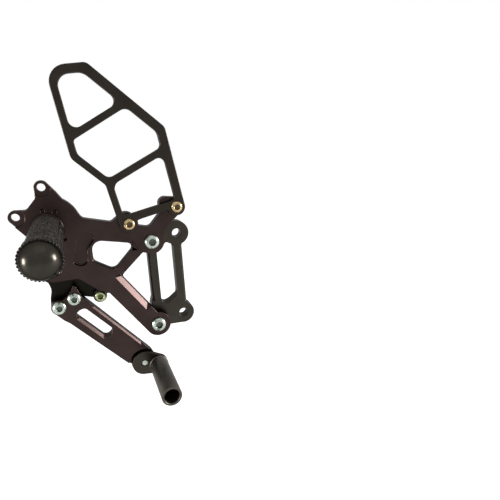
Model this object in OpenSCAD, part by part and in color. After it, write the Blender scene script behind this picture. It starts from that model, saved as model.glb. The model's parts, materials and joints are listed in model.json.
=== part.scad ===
// Rear set footrest assembly: adapter, machined hanger plate, heel guard,
// knurled footpeg and a bell-crank pedal with an adjustable toe peg.
// X runs forwards, Z upwards and -Y outboard, towards the rider's foot.
// The origin is midway between the two frame bolts, on the adapter's back face.

/* [Frame side] */
// Distance between the two frame bolts
frame_bolt_spacing = 80; // [76:0.5:84]
// Hole for a frame bolt
frame_bolt_hole_d = 8.5; // [8.2:0.1:9.5]
// Thickness of the adapter
adapter_t = 12; // [10:0.5:14]
// Outer radius of the upper frame ear
upper_ear_r = 11.5; // [10:0.25:12.5]
// Outer radius of the lower frame ear
lower_ear_r = 10.5; // [9.5:0.25:11.5]
// Width of the adapter's outer leg
outer_leg_w = 8; // [6:0.25:10]
// Width of the adapter's inner leg
inner_leg_w = 8.2; // [7:0.2:9.4]

/* [Hanger plate] */
// Thickness of the hanger plate
plate_t = 10; // [8:0.5:12]
// Radius of the boss round each adapter bolt
boss_r = 11.6; // [10.8:0.1:12.4]
// Radius of the pad behind the footpeg
peg_pad_r = 27.5; // [26.5:0.25:28.5]
// Depth of the bone-shaped pocket
pocket_depth = 3.5; // [1:0.5:6]
// Depth by which the rib between the windows is set back
rib_recess = 3; // [1:0.5:5]
// Width of the long bevel on the lower arm
arm_bevel_w = 5; // [2:0.5:7]
// Depth of the long bevel on the lower arm
arm_bevel_depth = 4; // [1:0.5:6]
// Width of the ledge inside the window
ledge_w = 1.5; // [0.5:0.25:2.5]
// Depth of the ledge below the plate's face
ledge_depth = 3; // [1:0.5:6]

/* [Master cylinder ears] */
// Distance between the two ear holes
mc_spacing = 32; // [30:0.5:34]
// Ear hole
mc_hole_d = 6.6; // [6.4:0.1:7.2]
// Outer radius of an ear
mc_ear_r = 5.6; // [5.4:0.1:6.4]
// Thickness of an ear
mc_ear_t = 7; // [5:0.5:7.5]
// Radius of the spot face round an ear hole
mc_spot_r = 7.3; // [6.8:0.1:8]

/* [Heel guard] */
// Thickness of the heel guard
guard_t = 6; // [4:0.5:8]
// Width of the rear and lower rear rims
rear_rim_w = 6; // [4:0.25:7.5]
// Width of the front rims
front_rim_w = 7.8; // [6:0.2:9]
// Width of the top rim
top_rim_w = 7; // [5:0.25:9]
// Width of the bottom rim
bottom_rim_w = 7; // [5:0.25:8]
// Width of the two crossbars
crossbar_w = 6; // [4:0.25:8]
// Radius of the lugs round the guard bolts
guard_lug_r = 8; // [7:0.25:8.5]

/* [Footpeg] */
// Diameter of the knurled barrel over the peaks
peg_d = 25; // [23:0.5:26]
// Length from the hanger plate to the end of the flared lip
peg_length = 109; // [90:1:120]
// Diameter of the flared lip over the peaks
peg_lip_d = 27.8; // [26.5:0.2:30]
// Width of the flared lip
peg_lip_w = 9; // [6:0.5:12]
// Depth of the knurl
knurl_depth = 0.8; // [0.4:0.1:1.2]
// Diameter of the collar at the barrel's root
collar_d = 26.4; // [26.2:0.1:27.6]
// Thickness of the collar
collar_t = 2.5; // [1.5:0.25:4]
// Diameter of the domed end cap
cap_d = 24.8; // [22:0.2:26]
// Height of the dome
cap_h = 11.3; // [7:0.1:12]

/* [Pedal hub] */
// Thickness of the pedal hub
hub_t = 9; // [8:0.5:11]
// Height of the hub's collar above its front face
hub_collar_h = 1; // [0.5:0.1:1.5]
// Outer radius of the hub's collar
hub_r = 15; // [14:0.25:16.5]
// Diameter of the pivot sleeve
sleeve_d = 16; // [14:0.5:17]
// Wall of the bush
bush_wall = 2; // [1.5:0.25:2.5]
// Length of the push rod arm
rod_arm_l = 28; // [24:0.5:31]
// Direction of the push rod arm above the X axis
rod_arm_angle = 135; // [125:1:145]
// Hole for the push rod pin
rod_pin_d = 6.2; // [5:0.1:7]

/* [Pedal arm] */
// Thickness of the pedal arm
arm_t = 9; // [7:0.5:10]
// Width of the pedal arm beside its slot
arm_w = 24.4; // [24:0.2:26]
// Length of the lightening slot
slot_l = 36.5; // [30:0.5:40]
// Width of the lightening slot
slot_w = 9.8; // [8:0.2:10.4]
// Width of the narrow bevel beside the slot
slot_bevel_w = 2.7; // [1:0.1:3.2]
// Width of the bevel along the front edge
edge_bevel_w = 2.1; // [1:0.1:3]
// Depth of the bevel along the front edge
edge_bevel_depth = 1.7; // [0.6:0.1:3]
// Thickness of the tongue under the toe peg carrier
tongue_t = 4.4; // [3:0.2:5.4]

/* [Toe peg] */
// Radius of the carrier's disc
disc_r = 11.6; // [10.5:0.1:12]
// Radius of the carrier's lobe
lobe_r = 9.2; // [8.6:0.1:9.8]
// Distance from the carrier's bolt to the toe peg
toe_offset = 13.6; // [12.6:0.1:14.4]
// Thickness of the carrier
carrier_t = 5; // [4.4:0.2:6]
// Outer diameter of the toe peg
toe_d = 17.6; // [15:0.2:18.2]
// Thickness of the shoulder at the toe peg's root
toe_shoulder_t = 2.4; // [1:0.2:4]
// Bore of the toe peg
toe_bore_d = 13.2; // [11.4:0.2:14]
// Length of the toe peg
toe_length = 62; // [50:1:70]

/* [Fasteners] */
// Shank of the large bolts
large_bolt_d = 8; // [7.8:0.1:8]
// Head of the large bolts
large_head_d = 14; // [13:0.25:14.5]
// Head height of the large bolts
large_head_h = 4.4; // [3.6:0.1:4.6]
// Shank of the small bolts
small_bolt_d = 6; // [5.6:0.1:6]
// Head of the guard and stop bolts
small_head_d = 10.5; // [9.5:0.25:11]
// Head of the two pedal arm bolts
arm_head_d = 12; // [10.5:0.25:12.5]
// Head height of the small bolts
small_head_h = 3.3; // [2.4:0.1:3.6]

/* [Fits] */
// Radial clearance of a bolt in a plain hole
bolt_clearance = 0.2; // [0.1:0.05:0.4]
// Radial clearance of a bolt in its thread
thread_clearance = 0.02; // [0.01:0.01:0.05]
// Radial clearance of a turning fit
run_clearance = 0.05; // [0.03:0.01:0.08]
// Gap between faces that slide past each other
face_gap = 0.1; // [0.05:0.05:0.2]
// Gap between the hub and the hanger plate
hub_gap = 0.3; // [0.2:0.1:0.5]
// Gap between the stop spacer and the hanger plate when the pedal is up
stop_gap = 0.25; // [0.15:0.05:0.5]

/* [Hidden] */
$fn = 64;
eps = 0.01;
tuck = 0.05;

// Depth of the faces, from the adapter's back face outwards
plate_back = -adapter_t;
plate_front = plate_back - plate_t;
guard_front = plate_front - guard_t;
ear_front = plate_back - mc_ear_t;
hub_collar_front = plate_back + hub_gap;
hub_front = hub_collar_front + hub_collar_h;
hub_back = hub_front + hub_t;
arm_front = hub_front - arm_t;
tongue_front = hub_front - tongue_t;
carrier_back = tongue_front - face_gap;
carrier_front = carrier_back - carrier_t;

// Axes that run along Y, as [x, z]
frame_upper = [0, frame_bolt_spacing / 2];
frame_lower = [0, -frame_bolt_spacing / 2];
plate_upper = [-25.3, 37];
plate_lower = [-26.8, -43.1];
guard_upper = [-1.1, 67.1];
guard_lower = [-43.9, 56.2];
peg_axis = [-109, 58.7];
mc_mid = [-120.4, 81.5];
mc_upper = mc_mid + mc_spacing / 2 * [cos(45), sin(45)];
mc_lower = mc_mid - mc_spacing / 2 * [cos(45), sin(45)];
pivot = [-107.5, 22];
rod_pin = pivot + rod_arm_l * [cos(rod_arm_angle), sin(rod_arm_angle)];
arm_inner = [-97, -6];
arm_outer = [-109.9, -11.9];
stop_axis = [-75.1, -8.2];
stop_r = 6;
toe_pivot = [-43.5, -81];
toe_angle = -18;
toe_axis = toe_pivot + toe_offset * [cos(toe_angle), sin(toe_angle)];

// Straight lines of an outline: a point and a direction
function unit(v) = v / norm(v);
function left_of(d) = [-d[1], d[0]];
function line(p, q) = [p, unit(q - p)];
function shifted(l, d) = [l[0] + d * left_of(l[1]), l[1]];
function cross2(a, b) = a[0] * b[1] - a[1] * b[0];
function meet(a, b) = a[0] + cross2(b[0] - a[0], b[1]) / cross2(a[1], b[1]) * a[1];

// Points of an arc round a centre, from one angle to another
function arc(c, r, a0, a1, n = 8) = [for (i = [0:n]) let (a = a0 + (a1 - a0) * i / n)
    c + r * [cos(a), sin(a)]];

// Corner p between its neighbours a and b, rounded to radius r with arcs of about 12 degrees
function corner(a, p, b, r) =
    let (u = unit(a - p), v = unit(b - p),
         turn = 180 - acos(max(-1, min(1, u * v))),
         reach = min(r * tan(turn / 2), 0.49 * min(norm(a - p), norm(b - p))),
         rr = reach / max(tan(turn / 2), 0.001),
         c = p + unit(u + v) * rr / cos(turn / 2),
         s = p + u * reach - c,
         e = p + v * reach - c,
         sweep = cross2(s, e) > 0 ? turn : -turn,
         n = max(1, ceil(turn / 12)))
    (r <= 0 || turn < 1) ? [p] :
    [for (i = [0:n]) let (t = sweep * i / n)
        c + [s[0] * cos(t) - s[1] * sin(t), s[0] * sin(t) + s[1] * cos(t)]];

// Closed outline from corners given as [x, z, radius]
function rounded(pts) = [for (i = [0:len(pts) - 1])
    let (a = pts[(i + len(pts) - 1) % len(pts)], p = pts[i], b = pts[(i + 1) % len(pts)])
    each corner([a[0], a[1]], [p[0], p[1]], [b[0], b[1]], p[2])];

// Window whose corners are where neighbouring lines meet
function window(lines, radii) = rounded([for (i = [0:len(lines) - 1])
    let (p = meet(lines[i], lines[(i + 1) % len(lines)])) [p[0], p[1], radii[i]]]);

// Point at the rim of a round boss, tucked a little way inside it
function rim(c, r, a) = c + (r - tuck) * [cos(a), sin(a)];
function rim_corner(c, r, a) = concat(rim(c, r, a), 0);

// Band between two circles, along the lines that touch both
function band(a, ra, b, rb) =
    let (d = norm(b - a), t = atan2(b[1] - a[1], b[0] - a[0]), k = acos((ra - rb) / d))
    [rim(a, ra, t + k), rim(a, ra, t - k), rim(b, rb, t - k), rim(b, rb, t + k)];

// Slab of an X-Z outline between two depths
module slab(pts, front, back) {
    translate([0, back, 0])
        rotate([90, 0, 0])
            linear_extrude(height = back - front)
                polygon(pts);
}

// Round bar or bore along Y
module rod(c, r, front, back) {
    translate([c[0], back, c[1]])
        rotate([90, 0, 0])
            cylinder(h = back - front, r = r);
}

// Two round ends joined by the band that touches both
module link(a, ra, b, rb, front, back) {
    rod(a, ra, front, back);
    rod(b, rb, front, back);
    slab(band(a, ra, b, rb), front, back);
}

// Wedge along the line from p to q with sloping ends; it cuts to the left of the line,
// is deepest on it and reaches past it by 'over'
module bevel_cut(p, q, front, width, depth, over = 2) {
    d = q - p;
    l = norm(d);
    translate([p[0], front, p[1]])
        rotate([0, -atan2(d[1], d[0]), 0])
            intersection() {
                rotate([90, 0, 90])
                    linear_extrude(height = l)
                        polygon([[-1, width * (1 + 1 / depth)], [depth, 0], [depth, -over], [-1, -over]]);
                translate([0, 0, -over])
                    linear_extrude(height = width * (1 + 1 / depth) + over)
                        polygon([[0, -1], [0, 0], [depth, depth], [l - depth, depth], [l, 0], [l, -1]]);
            }
}

// Bolt along Y with a domed head at 'seat', its head outboard
module dome_bolt(c, seat, shank_d, head_d, head_h, length, key_d) {
    rim = 0.25 * head_h;
    crown_r = (pow(head_d / 2, 2) + pow(head_h - rim, 2)) / (2 * (head_h - rim));
    sweep = asin(head_d / 2 / crown_r);
    translate([c[0], seat, c[1]])
        rotate([90, 0, 0])
            difference() {
                rotate_extrude()
                    polygon(concat([[0, -length], [shank_d / 2 - 0.5, -length],
                        [shank_d / 2, 0.5 - length], [shank_d / 2, 0], [head_d / 2, 0]],
                        [for (i = [0:8]) let (a = sweep * (1 - i / 8))
                            [crown_r * sin(a), head_h - crown_r * (1 - cos(a))]]));
                translate([0, 0, 0.35 * head_h])
                    cylinder(h = head_h, d = key_d, $fn = 6);
            }
}

// Frame adapter

leg_outer_left = -outer_leg_w / 2;
leg_inner_right = -20.3;
leg_bevel = 1.7;
leg_inner_left = leg_inner_right - inner_leg_w;
web_foot = [-13.6, -49.8];
adapter_window = rounded([[leg_outer_left, 28.4, 1.5], [leg_outer_left - 2.6, 30.4, 2],
    [-11, 32.8, 2], [-13.5, 29.5, 2], [leg_inner_right, 25.5, 2], [leg_inner_right, -24, 4],
    [-16.8, -28, 4], [-11.6, -26, 3], [leg_outer_left, -20.4, 3]]);

module frame_adapter() {
    color([0.16, 0.16, 0.14])
    difference() {
        union() {
            link(plate_upper, boss_r, frame_upper, upper_ear_r, plate_back, 0);
            rod(plate_lower, boss_r - 1, plate_back, 0);
            rod(frame_lower, lower_ear_r, plate_back, 0);
            slab([[leg_outer_left, frame_lower[1]], [-leg_outer_left, frame_lower[1]],
                [-leg_outer_left, frame_upper[1]], [leg_outer_left, frame_upper[1]]], plate_back, 0);
            slab([[leg_inner_left, plate_lower[1]], [leg_inner_right, plate_lower[1]],
                [leg_inner_right, plate_upper[1]], [leg_inner_left, plate_upper[1]]], plate_back, 0);
            slab([[leg_inner_left, -20], [leg_inner_left - 2, -27], plate_lower,
                [plate_lower[0] + 4, plate_lower[1] - 8.4], web_foot, [frame_lower[0], -50.3],
                frame_lower, [leg_outer_left, -19], [leg_inner_right, -19]], plate_back, 0);
        }
        slab(adapter_window, plate_back - eps, eps);
        bevel_cut([leg_inner_left, 29], [leg_inner_left, -24], plate_back, leg_bevel, leg_bevel);
        bevel_cut([-leg_outer_left, -29], [-leg_outer_left, 29], plate_back, leg_bevel, leg_bevel);
        for (c = [frame_upper, frame_lower])
            rod(c, frame_bolt_hole_d / 2, plate_back - eps, eps);
        for (c = [plate_upper, plate_lower])
            rod(c, large_bolt_d / 2 + thread_clearance, plate_back - eps, eps);
    }
}

// Hanger plate

neck_bump = [-9.2, 69.8];
neck_bump_r = 6.4;
lug_bump = [-45.2, 57.9];
lug_bump_r = 8.2;
plate_outline = rounded(concat(
    [rim_corner(mc_upper, mc_ear_r, 180), rim_corner(mc_upper, mc_ear_r, 39), [-98.4, 88.2, 5]],
    [for (p = arc(peg_axis, peg_pad_r, 58, 22)) [p[0], p[1], 0]],
    [[-81.2, 64.6, 8.5], [-58, 58.6, 4], rim_corner(lug_bump, lug_bump_r, 130),
     rim_corner(lug_bump, lug_bump_r, 48), [-36.9, 53.3, 2], [-25.6, 50.5, 5], [-15.9, 61.2, 2],
     rim_corner(neck_bump, neck_bump_r, 202), concat(guard_upper, 0),
     rim_corner(guard_upper, guard_lug_r, -60), [-11.8, 47.4, 5],
     rim_corner(plate_upper, boss_r, 0), rim_corner(plate_upper, boss_r, -64),
     [-33.4, 27.6, 3], [-54.5, 8.5, 4], [-25.2, -33.7, 0], concat(plate_lower, 0),
     rim_corner(plate_lower, boss_r, 214.4), [-67.2, -4.9, 2.5], [-71.9, -4.4, 2],
     [-91, 12.4, 7], [-118, 12.2, 10], [-118.6, 30, 20], [-125, 53.2, 8],
     rim_corner(mc_lower, mc_ear_r, 219.3), rim_corner(mc_lower, mc_ear_r, 90),
     [-123, mc_lower[1] + mc_ear_r - 0.4, 4], [mc_upper[0] - mc_ear_r + tuck, 84.6, 3]]));

plate_window = rounded([[-78, 45.8, 11], [-38.7, 37, 4.3], [-59.8, 15.1, 6], [-78, 25.8, 6]]);
plate_window_deep = rounded([[-78 + ledge_w, 45.8 - ledge_w, 13], [-38.7, 37 - 0.3 * ledge_w, 4.3],
    [-59.8, 15.1, 6], [-78 + ledge_w, 25.6, 6]]);
rib_pocket = [[-42, 39], [-37, 30.5], [-31.6, 26.4], [-52.6, 6.6], [-61, 15.2], [-43, 33.6]];
bone_pocket = rounded([[-88.5, 51, 4], [-75.6, 52.2, 4.5], [-73.8, 45.6, 3], [-81.2, 36.8, 10],
    [-81.2, 26, 4], [-86.8, 22.7, 5], [-93.8, 26.5, 2.5], [-89, 38, 12]]);
index_angles = [96, 62, -40];

module main_plate() {
    color([0.22, 0.17, 0.17])
    difference() {
        union() {
            slab(plate_outline, plate_front, plate_back);
            for (c = [mc_upper, mc_lower])
                rod(c, mc_ear_r, plate_front, plate_back);
            for (c = [plate_upper, plate_lower])
                rod(c, boss_r, plate_front, plate_back);
            link(neck_bump, neck_bump_r, guard_upper, guard_lug_r, plate_front, plate_back);
            rod(lug_bump, lug_bump_r, plate_front, plate_back);
        }
        slab(plate_window, plate_front - eps, plate_front + ledge_depth);
        slab(plate_window_deep, plate_front - eps, plate_back + eps);
        slab(rib_pocket, plate_front - eps, plate_front + rib_recess);
        slab(bone_pocket, plate_front - eps, plate_front + pocket_depth);
        bevel_cut([-32.2, -24.6], [-57, 11.6], plate_front, arm_bevel_w, arm_bevel_depth, 3);
        rod(stop_axis, stop_r + stop_gap, plate_front - eps, plate_back + eps);
        for (c = [mc_upper, mc_lower]) {
            rod(c, mc_hole_d / 2, plate_front - eps, plate_back + eps);
            rod(c, mc_spot_r, plate_front - eps, ear_front);
        }
        for (c = [plate_upper, plate_lower])
            rod(c, large_bolt_d / 2 + bolt_clearance, plate_front - eps, plate_back + eps);
        for (c = [guard_upper, guard_lower])
            rod(c, small_bolt_d / 2 + thread_clearance, plate_front - eps, plate_back + eps);
        for (a = index_angles)
            rod(peg_axis + 15.4 * [cos(a), sin(a)], 1.5, plate_front - eps, plate_front + 4);
        rod(peg_axis, large_bolt_d / 2 + bolt_clearance, plate_front - eps, plate_back + eps);
        rod(peg_axis, large_head_d / 2 + bolt_clearance, plate_back - large_head_h - 0.2, plate_back + eps);
        rod(pivot, large_bolt_d / 2 + thread_clearance, plate_front - eps, plate_back + eps);
    }
}

// Heel guard: an outer frame of six sides, two crossbars and three windows

side_lower_rear = line([-53.4, 62.9], [-58.8, 89.9]);
side_rear_step = line([-60.4, 92.5], [-80.7, 112.1]);
side_rear = line([-84.6, 123.7], [-89.9, 162.2]);
side_top = line([-76.7, 186.4], [-63.9, 187.6]);
side_front_upper = line([-59.1, 185.1], [-9.9, 140.8]);
side_front = line([-4.2, 132.3], [6.5, 71.2]);
side_bottom = line([-16, 63.2], [-31.5, 59.9]);
upper_bar = line([-60, 143.1], [-60 - cos(29), 143.1 - sin(29)]);
lower_bar = line([-30, 105.9], [-30 - cos(26.7), 105.9 - sin(26.7)]);

function across(l) = atan2(left_of(l[1])[1], left_of(l[1])[0]);
guard_outline = rounded([
    rim_corner(guard_lower, guard_lug_r, across(side_lower_rear)),
    concat(meet(side_lower_rear, side_rear_step), 6),
    concat(meet(side_rear_step, side_rear), 9),
    concat(meet(side_rear, side_top), 27),
    concat(meet(side_top, side_front_upper), 6),
    concat(meet(side_front_upper, side_front), 8),
    rim_corner(guard_upper, guard_lug_r, across(side_front)),
    [guard_upper[0], guard_upper[1] - 0.4, 0],
    [-33, 59.6, 4],
    concat(guard_lower, 0)]);
guard_window_top = window(
    [shifted(side_rear, -rear_rim_w), shifted(side_top, -top_rim_w),
     shifted(side_front_upper, -front_rim_w), shifted(upper_bar, -crossbar_w / 2)],
    [18, 10, 6, 6]);
guard_window_middle = window(
    [shifted(upper_bar, crossbar_w / 2), shifted(side_front_upper, -front_rim_w),
     shifted(side_front, -front_rim_w), shifted(lower_bar, -crossbar_w / 2),
     shifted(side_rear_step, -rear_rim_w), shifted(side_rear, -rear_rim_w)],
    [7, 8, 5, 6, 8, 3]);
guard_window_lower = window(
    [shifted(lower_bar, crossbar_w / 2), shifted(side_front, -front_rim_w),
     shifted(side_bottom, -bottom_rim_w), shifted(side_lower_rear, -rear_rim_w)],
    [5.5, 4, 5, 7]);

module heel_guard() {
    color([0.19, 0.17, 0.14])
    difference() {
        union() {
            slab(guard_outline, guard_front, plate_front);
            for (c = [guard_upper, guard_lower])
                rod(c, guard_lug_r, guard_front, plate_front);
        }
        for (w = [guard_window_top, guard_window_middle, guard_window_lower])
            slab(w, guard_front - eps, plate_front + eps);
        for (c = [guard_upper, guard_lower])
            rod(c, small_bolt_d / 2 + bolt_clearance, guard_front - eps, plate_front + eps);
    }
}

// Fixed fasteners

module adapter_bolt(c) {
    color([0.72, 0.76, 0.74])
        dome_bolt(c, plate_front, large_bolt_d, large_head_d, large_head_h,
            plate_t + adapter_t - 1, 5.8);
}

module guard_bolt(c) {
    color([0.72, 0.62, 0.38])
        dome_bolt(c, guard_front, small_bolt_d, small_head_d, small_head_h,
            guard_t + plate_t - 1, 4.6);
}

module adapter_bolt_upper() { adapter_bolt(plate_upper); }
module adapter_bolt_lower() { adapter_bolt(plate_lower); }
module guard_bolt_upper() { guard_bolt(guard_upper); }
module guard_bolt_lower() { guard_bolt(guard_lower); }

// Footpeg

peg_end = plate_front - peg_length;
peg_root = plate_front - collar_t;
peg_cols = 60;
peg_rows = 46;
peg_band = 20;
peg_rib_cols = 4;
peg_rib_first = 1;
peg_thread_l = 26;

// Radius over the peaks along the barrel: it flares into the lip
function peak_r(y) =
    let (t = max(0, min(1, 1 - (y - peg_end - 2) / peg_lip_w)))
    peg_d / 2 + (peg_lip_d - peg_d) / 2 * t * t * (3 - 2 * t);

// Diamond knurl in three bands, with cross ribs in the three narrow ones between them
function knurl(i, j) =
    let (ribbed = (i + peg_band - peg_rib_first) % peg_band < peg_rib_cols,
         lip = j > peg_rows - 5)
    (ribbed && !lip) ? (j % 5 == 2 ? 0.15 : 0.75) : ((i + j) % 2);

peg_y = [for (j = [0:peg_rows]) peg_root + (peg_end - peg_root) * j / peg_rows];
peg_points = [for (j = [0:peg_rows]) for (i = [0:peg_cols - 1])
    let (edge = j == 0 || j == peg_rows,
         r = peak_r(peg_y[j]) - knurl_depth * (edge ? 0.5 : knurl(i, j)),
         a = 360 * i / peg_cols)
    [peg_axis[0] + r * cos(a), peg_y[j], peg_axis[1] + r * sin(a)]];
peg_faces = concat(
    [[for (i = [0:peg_cols - 1]) i]],
    [[for (i = [0:peg_cols - 1]) peg_rows * peg_cols + peg_cols - 1 - i]],
    [for (j = [0:peg_rows - 1]) for (i = [0:peg_cols - 1])
        let (k = (i + 1) % peg_cols, p = j * peg_cols + i, q = j * peg_cols + k,
             r = p + peg_cols, s = q + peg_cols)
        each ((i + j) % 2 == 0 ? [[p, r, q], [q, r, s]] : [[p, r, s], [p, s, q]])]);

module footpeg_collar() {
    color([0.2, 0.18, 0.17])
    difference() {
        rod(peg_axis, collar_d / 2, peg_root, plate_front);
        rod(peg_axis, large_bolt_d / 2 + bolt_clearance, peg_root - eps, plate_front + eps);
    }
}

module footpeg_barrel() {
    color([0.17, 0.17, 0.17])
    difference() {
        polyhedron(peg_points, peg_faces);
        rod(peg_axis, large_bolt_d / 2 + thread_clearance, peg_root - peg_thread_l, peg_root + eps);
    }
}

module footpeg_end_cap() {
    dome_r = (pow(cap_d / 2, 2) + pow(cap_h, 2)) / (2 * cap_h);
    sweep = asin(cap_d / 2 / dome_r);
    color([0.08, 0.09, 0.08])
    translate([peg_axis[0], peg_end, peg_axis[1]])
        rotate([90, 0, 0])
            rotate_extrude($fn = 96)
                polygon(concat([[0, 0]], [for (i = [0:16]) let (a = sweep * (1 - i / 16))
                    [dome_r * sin(a), cap_h - dome_r * (1 - cos(a))]]));
}

module footpeg_bolt() {
    color([0.7, 0.72, 0.7])
    mirror([0, 1, 0])
        dome_bolt(peg_axis, -plate_back + large_head_h + 0.2, large_bolt_d, large_head_d, large_head_h,
            plate_t - large_head_h - 0.2 + collar_t + peg_thread_l - 2, 5.8);
}

// Pivot

washer_t = 1.5;
sleeve_back = hub_back + hub_gap;
washer_back = sleeve_back + washer_t;

module pivot_sleeve() {
    color([0.7, 0.7, 0.7])
    difference() {
        rod(pivot, sleeve_d / 2, plate_back, sleeve_back);
        rod(pivot, large_bolt_d / 2 + bolt_clearance, plate_back - eps, sleeve_back + eps);
    }
}

module pivot_washer() {
    color([0.72, 0.74, 0.72])
    difference() {
        rod(pivot, sleeve_d / 2 + bush_wall + 2, sleeve_back, washer_back);
        rod(pivot, large_bolt_d / 2 + bolt_clearance, sleeve_back - eps, washer_back + eps);
    }
}

module pivot_bolt() {
    color([0.72, 0.76, 0.74])
    mirror([0, 1, 0])
        dome_bolt(pivot, -washer_back, large_bolt_d, large_head_d, large_head_h,
            washer_back - plate_front - 1, 5.8);
}

// Pedal hub

bush_r = sleeve_d / 2 + run_clearance + bush_wall;
tab_outer_r = 7.2;
tab_inner_r = 7;
stop_lobe_r = 6.2;
hub_tab = rounded([[-117.0, 11.5, 0], [-114.2, 3, 12], [arm_outer[0] - 6.4, -4.5, 6],
    rim_corner(arm_outer, tab_outer_r, 180), rim_corner(arm_outer, tab_outer_r, -74),
    rim_corner(arm_inner, tab_inner_r, -64), rim_corner(arm_inner, tab_inner_r, 4),
    [-93, 10, 0], concat(pivot, 0)]);
front_arm = rounded([[pivot[0] + 4, pivot[1] - 8, 0], [-95, -2, 0], [-90.6, -7.2, 3],
    [-79.9, -10.4, 5], rim_corner(stop_axis, stop_lobe_r, 255), concat(stop_axis, 0),
    rim_corner(stop_axis, stop_lobe_r, 55), [-86, 11.5, 14], [pivot[0] + 9, pivot[1] + 11, 0]]);

module pedal_hub() {
    color([0.11, 0.11, 0.1])
    difference() {
        union() {
            rod(pivot, hub_r, hub_collar_front, hub_back);
            slab(hub_tab, hub_front, hub_back);
            rod(arm_outer, tab_outer_r, hub_front, hub_back);
            rod(arm_inner, tab_inner_r, hub_front, hub_back);
            slab(front_arm, hub_front, hub_back);
            rod(stop_axis, stop_lobe_r, hub_front, hub_back);
            slab(band(pivot, hub_r - 3, rod_pin, 6), hub_front, hub_back);
            rod(rod_pin, 6, hub_front, hub_back);
        }
        rod(pivot, bush_r + thread_clearance, hub_collar_front - eps, hub_back + eps);
        rod(rod_pin, rod_pin_d / 2, hub_front - eps, hub_back + eps);
        for (c = [arm_inner, arm_outer, stop_axis])
            rod(c, small_bolt_d / 2 + thread_clearance, hub_front - eps, hub_back + eps);
    }
}

module pedal_bush() {
    color([0.6, 0.48, 0.25])
    difference() {
        rod(pivot, bush_r, hub_collar_front, hub_back);
        rod(pivot, sleeve_d / 2 + run_clearance, hub_collar_front - eps, hub_back + eps);
    }
}

// Pedal arm: drawn in its own axes, u towards the toe peg and v towards its front edge

arm_angle = -48.8;
function arm_point(u, v) = arm_inner
    + u * [cos(arm_angle), sin(arm_angle)] + v * [-sin(arm_angle), cos(arm_angle)];
function in_arm(pts) = [for (p = pts) concat(arm_point(p[0], p[1]), p[2])];

front_edge = 5.2;
rear_edge = front_edge - arm_w;
arm_taper = 0.9;
slot_start = 10.4;
slot_front = -0.8;
slot_rear = slot_front - slot_w;
recess_r = 14.6;
tongue_r = 12;
nose_c = [-28.3, -2.4];
nose_r = 22.1;

pedal_arm_outline = rounded(in_arm(concat(
    [for (p = arc(nose_c, nose_r, -14, 29.5, 6)) [p[0], p[1], 0]],
    [[-7, 9.2, 1], [4, front_edge + 0.3, 6], [88.5, front_edge - arm_taper, 6],
     [96, 1.9, 0], [91.2, -8.7, 0], [83, rear_edge + arm_taper - 0.5, 0],
     [80.6, rear_edge + arm_taper, 2], [12.2, rear_edge, 5], [7, rear_edge - 0.9, 4],
     [-4, rear_edge - 1, 0], [-4.1, -13.6, 0]])));
slot_outline = rounded(in_arm([[slot_start + 2, slot_front, 6],
    [slot_start + slot_l, slot_front, 4.6], [slot_start + slot_l, slot_rear, 4.6],
    [slot_start - 0.2, slot_rear, 2.2], [slot_start, slot_front - 4.6, 2]]));
edge_from = arm_point(16.2, front_edge);
edge_to = arm_point(76.4, front_edge - 0.85 * arm_taper);

module pedal_arm() {
    color([0.2, 0.16, 0.16])
    difference() {
        union() {
            slab(pedal_arm_outline, arm_front, hub_front);
            rod(arm_outer, 6.8, arm_front, hub_front);
            rod(toe_pivot, tongue_r, tongue_front, hub_front);
        }
        rod(toe_pivot, recess_r, arm_front - eps, tongue_front);
        slab(slot_outline, arm_front - eps, hub_front + eps);
        bevel_cut(edge_to, edge_from, arm_front, edge_bevel_w, edge_bevel_depth);
        bevel_cut(arm_point(45.4, slot_rear), arm_point(13.4, slot_rear), arm_front,
            slot_bevel_w, 0.8 * slot_bevel_w, 1);
        for (c = [arm_inner, arm_outer])
            rod(c, small_bolt_d / 2 + bolt_clearance, arm_front - eps, hub_front + eps);
        rod(toe_pivot, small_bolt_d / 2 + run_clearance, tongue_front - eps, hub_front + eps);
    }
}

module arm_bolt(c) {
    color([0.72, 0.76, 0.74])
        dome_bolt(c, arm_front, small_bolt_d, arm_head_d, small_head_h, arm_t + hub_t - 1, 4.6);
}
module arm_bolt_inner() { arm_bolt(arm_inner); }
module arm_bolt_outer() { arm_bolt(arm_outer); }

// Stop: a spacer that meets the hanger plate's lower edge when the pedal is up

stop_front = hub_front - 5;

module stop_spacer() {
    color([0.09, 0.09, 0.09])
    difference() {
        rod(stop_axis, stop_r, stop_front, hub_front);
        rod(stop_axis, small_bolt_d / 2 + bolt_clearance, stop_front - eps, hub_front + eps);
    }
}

module stop_bolt() {
    color([0.5, 0.5, 0.36])
        dome_bolt(stop_axis, stop_front, small_bolt_d, small_head_d, small_head_h,
            hub_front - stop_front + hub_t - 1, 4.6);
}

// Toe peg

toe_floor = 12;

module toe_carrier() {
    color([0.12, 0.12, 0.11])
    difference() {
        link(toe_pivot, disc_r, toe_axis, lobe_r, carrier_front, carrier_back);
        rod(toe_pivot, small_bolt_d / 2 + thread_clearance, carrier_front - eps, carrier_back + eps);
        rod(toe_axis, small_bolt_d / 2 + bolt_clearance, carrier_front - eps, carrier_back + eps);
        rod(toe_axis, small_head_d / 2 + bolt_clearance, carrier_back - small_head_h - 0.2,
            carrier_back + eps);
    }
}

module toe_peg() {
    color([0.1, 0.1, 0.1])
    difference() {
        union() {
            rod(toe_axis, toe_d / 2, carrier_front - toe_length, carrier_front);
            rod(toe_axis, lobe_r, carrier_front - toe_shoulder_t, carrier_front);
        }
        rod(toe_axis, toe_bore_d / 2, carrier_front - toe_length - eps, carrier_front - toe_floor);
        rod(toe_axis, small_bolt_d / 2 + thread_clearance, carrier_front - toe_floor - eps,
            carrier_front + eps);
    }
}

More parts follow.
